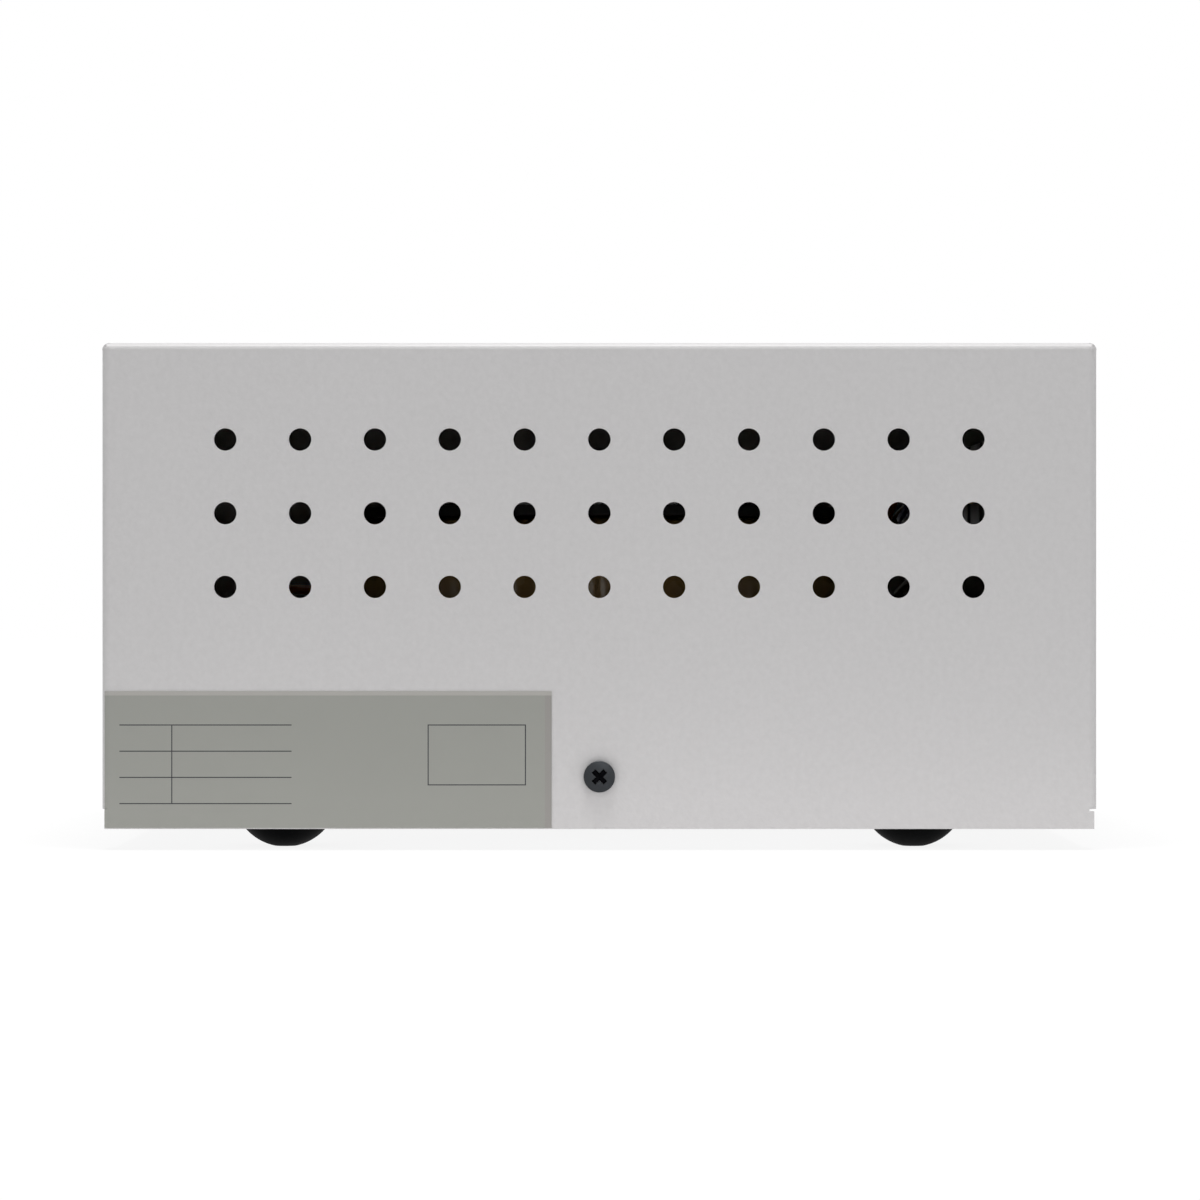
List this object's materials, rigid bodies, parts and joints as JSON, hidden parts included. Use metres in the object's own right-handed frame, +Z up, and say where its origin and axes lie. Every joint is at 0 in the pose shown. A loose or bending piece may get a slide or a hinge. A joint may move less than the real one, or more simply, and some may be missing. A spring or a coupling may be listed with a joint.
{
  "type": "isolation transformer",
  "caption": "Desktop isolation transformer: a vented steel cover over a chassis with a toroidal transformer, a mains inlet, outlets, a power switch and resettable breakers.",
  "frame": {"origin": "centre of the underside, on the surface that the feet stand on", "axes": "+X from the front panel (switch and lamp) to the rear panel (inlet and outlets), -Y towards the long side with the rating plate, +Z up"},
  "size_m": [0.266, 0.205, 0.1357],
  "materials": {
    "cover_paint": "fine-textured pale grey powder coat",
    "panel_paint": "fine-textured off-white powder coat",
    "rating_foil": "matt printed foil, olive grey",
    "plated_sheet": "zinc plated sheet",
    "plated_hardware": "zinc plated",
    "black_screw": "black oxide",
    "foot_rubber": "matt",
    "pad_rubber": "matt",
    "core_steel": "edge of wound strip",
    "insulation_film": "translucent polyester film",
    "winding_copper": "enamelled copper wire",
    "shield_copper": "bare copper foil",
    "wrap_film": "amber polyester tape",
    "block_plastic": "moulded, natural",
    "black_plastic": "fine sparked moulding",
    "black_gloss": "smooth moulding",
    "rocker_red": "smooth moulding",
    "slider_red": "smooth moulding",
    "button_white": "smooth moulding",
    "lamp_chrome": "polished",
    "lens_green": "clear green",
    "contact_brass": "plain",
    "pin_nickel": "nickel plated",
    "wire_brown": "soft vinyl",
    "wire_blue": "soft vinyl",
    "wire_earth": "green vinyl with a yellow stripe",
    "wire_orange": "soft sleeving",
    "tie_nylon": "natural nylon"
  },
  "bodies": {
    "housing": {"cover": "cover_paint", "rating_label": "rating_foil", "chassis": "plated_sheet", "front_panel": "panel_paint", "rear_panel": "panel_paint", "cover_screws": "black_screw", "cover_nuts": "plated_hardware", "panel_screws": "plated_hardware", "panel_nuts": "plated_hardware", "foot_studs": "plated_hardware", "foot_nuts": "plated_hardware", "clamp_dish": "plated_hardware", "centre_bolt": "plated_hardware", "centre_washers": "plated_hardware", "centre_nut": "plated_hardware", "block_screws": "plated_hardware", "earth_nut": "plated_hardware", "lamp_nut": "plated_hardware", "inlet_screws": "plated_hardware", "breaker_nuts": "plated_hardware", "foot_front_left": "foot_rubber", "foot_front_right": "foot_rubber", "foot_rear_left": "foot_rubber", "foot_rear_right": "foot_rubber", "lower_pad": "pad_rubber", "upper_pad": "pad_rubber", "toroid_core": "core_steel", "core_insulation": "insulation_film", "primary_insulation": "insulation_film", "shield_insulation": "insulation_film", "primary_winding": "winding_copper", "secondary_winding": "winding_copper", "electrostatic_shield": "shield_copper", "outer_wrap": "wrap_film", "terminal_block": "block_plastic", "terminal_screws": "contact_brass", "earth_stud": "contact_brass", "outlet_contacts": "contact_brass", "spade_tabs": "contact_brass", "switch_housing": "black_gloss", "lamp_body": "lamp_chrome", "lamp_lens": "lens_green", "inlet_body": "black_plastic", "outlet_1": "black_plastic", "outlet_2": "black_plastic", "outlet_3": "black_plastic", "outlet_4": "black_plastic", "selector_body": "black_plastic", "input_breaker": "black_plastic", "output_breaker": "black_plastic", "inlet_pins": "pin_nickel", "line_leads": "wire_brown", "neutral_leads": "wire_blue", "earth_leads": "wire_earth", "winding_leads": "wire_orange", "cable_ties": "tie_nylon"},
    "rocker": {"switch_rocker": "rocker_red"},
    "selector": {"selector_slider": "slider_red"},
    "input_reset": {"input_reset_button": "button_white"},
    "output_reset": {"output_reset_button": "button_white"}
  },
  "joints": [
    {"name": "rocker_tilt", "type": "hinge", "parent": "housing", "child": "rocker", "pos_m": [-0.1245, -0.058, 0.0536], "axis": [0, 1, 0], "range_deg": [0, 22]},
    {"name": "selector_slide", "type": "slide", "parent": "housing", "child": "selector", "axis": [0, 1, 0], "range_m": [0, 0.0055]},
    {"name": "input_reset_travel", "type": "slide", "parent": "housing", "child": "input_reset", "axis": [1, 0, 0], "range_m": [0, 0.0025]},
    {"name": "output_reset_travel", "type": "slide", "parent": "housing", "child": "output_reset", "axis": [1, 0, 0], "range_m": [0, 0.0025]}
  ]
}
